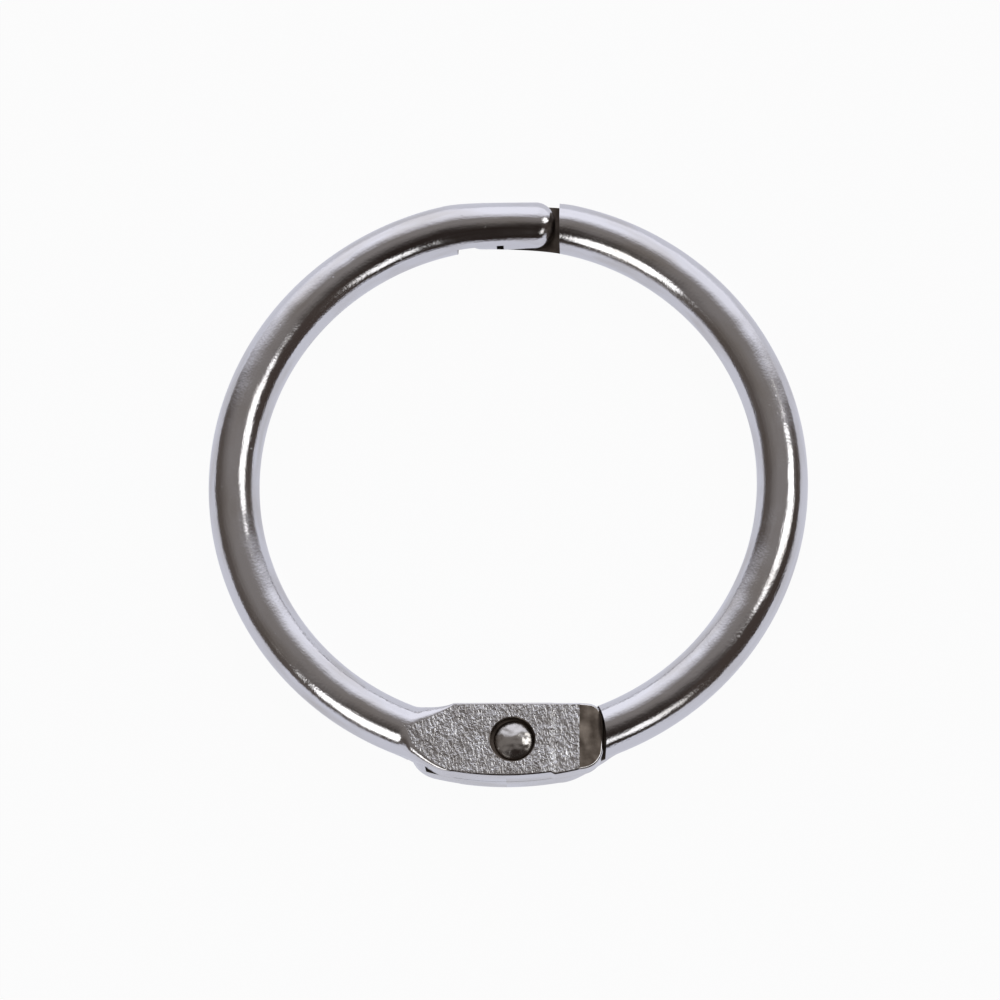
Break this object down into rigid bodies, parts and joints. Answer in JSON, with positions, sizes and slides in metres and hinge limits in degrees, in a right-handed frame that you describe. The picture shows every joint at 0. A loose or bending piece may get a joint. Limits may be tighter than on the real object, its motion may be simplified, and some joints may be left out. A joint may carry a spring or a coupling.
{
  "type": "jailer key ring",
  "caption": "Hinged steel key ring: two half rings of round wire, riveted at a flat hinge, with a half-lapped hook closure.",
  "frame": {"origin": "centre of the ring's opening, on the surface the ring lies on", "axes": "+Z square to the ring, up from the surface it lies on; +Y from the centre of the ring to the closure, and the hinge lies towards -Y; +X along the front tab, towards its rounded end"},
  "size_m": [0.0306, 0.0308, 0.0026],
  "materials": {
    "plated_wire": "bright nickel plate over steel wire, tabs stamped to a grainy matt face",
    "rivet": "bright nickel plate, domed and burnished end"
  },
  "bodies": {
    "back_half": {"back_half_ring": "plated_wire", "hinge_rivet": "rivet"},
    "front_half": {"front_half_ring": "plated_wire"}
  },
  "joints": [
    {"name": "hinge", "type": "hinge", "parent": "back_half", "child": "front_half", "pos_m": [0.0004, -0.01382, 0.0013], "axis": [0, 0, 1], "range_deg": [0, 150]}
  ]
}
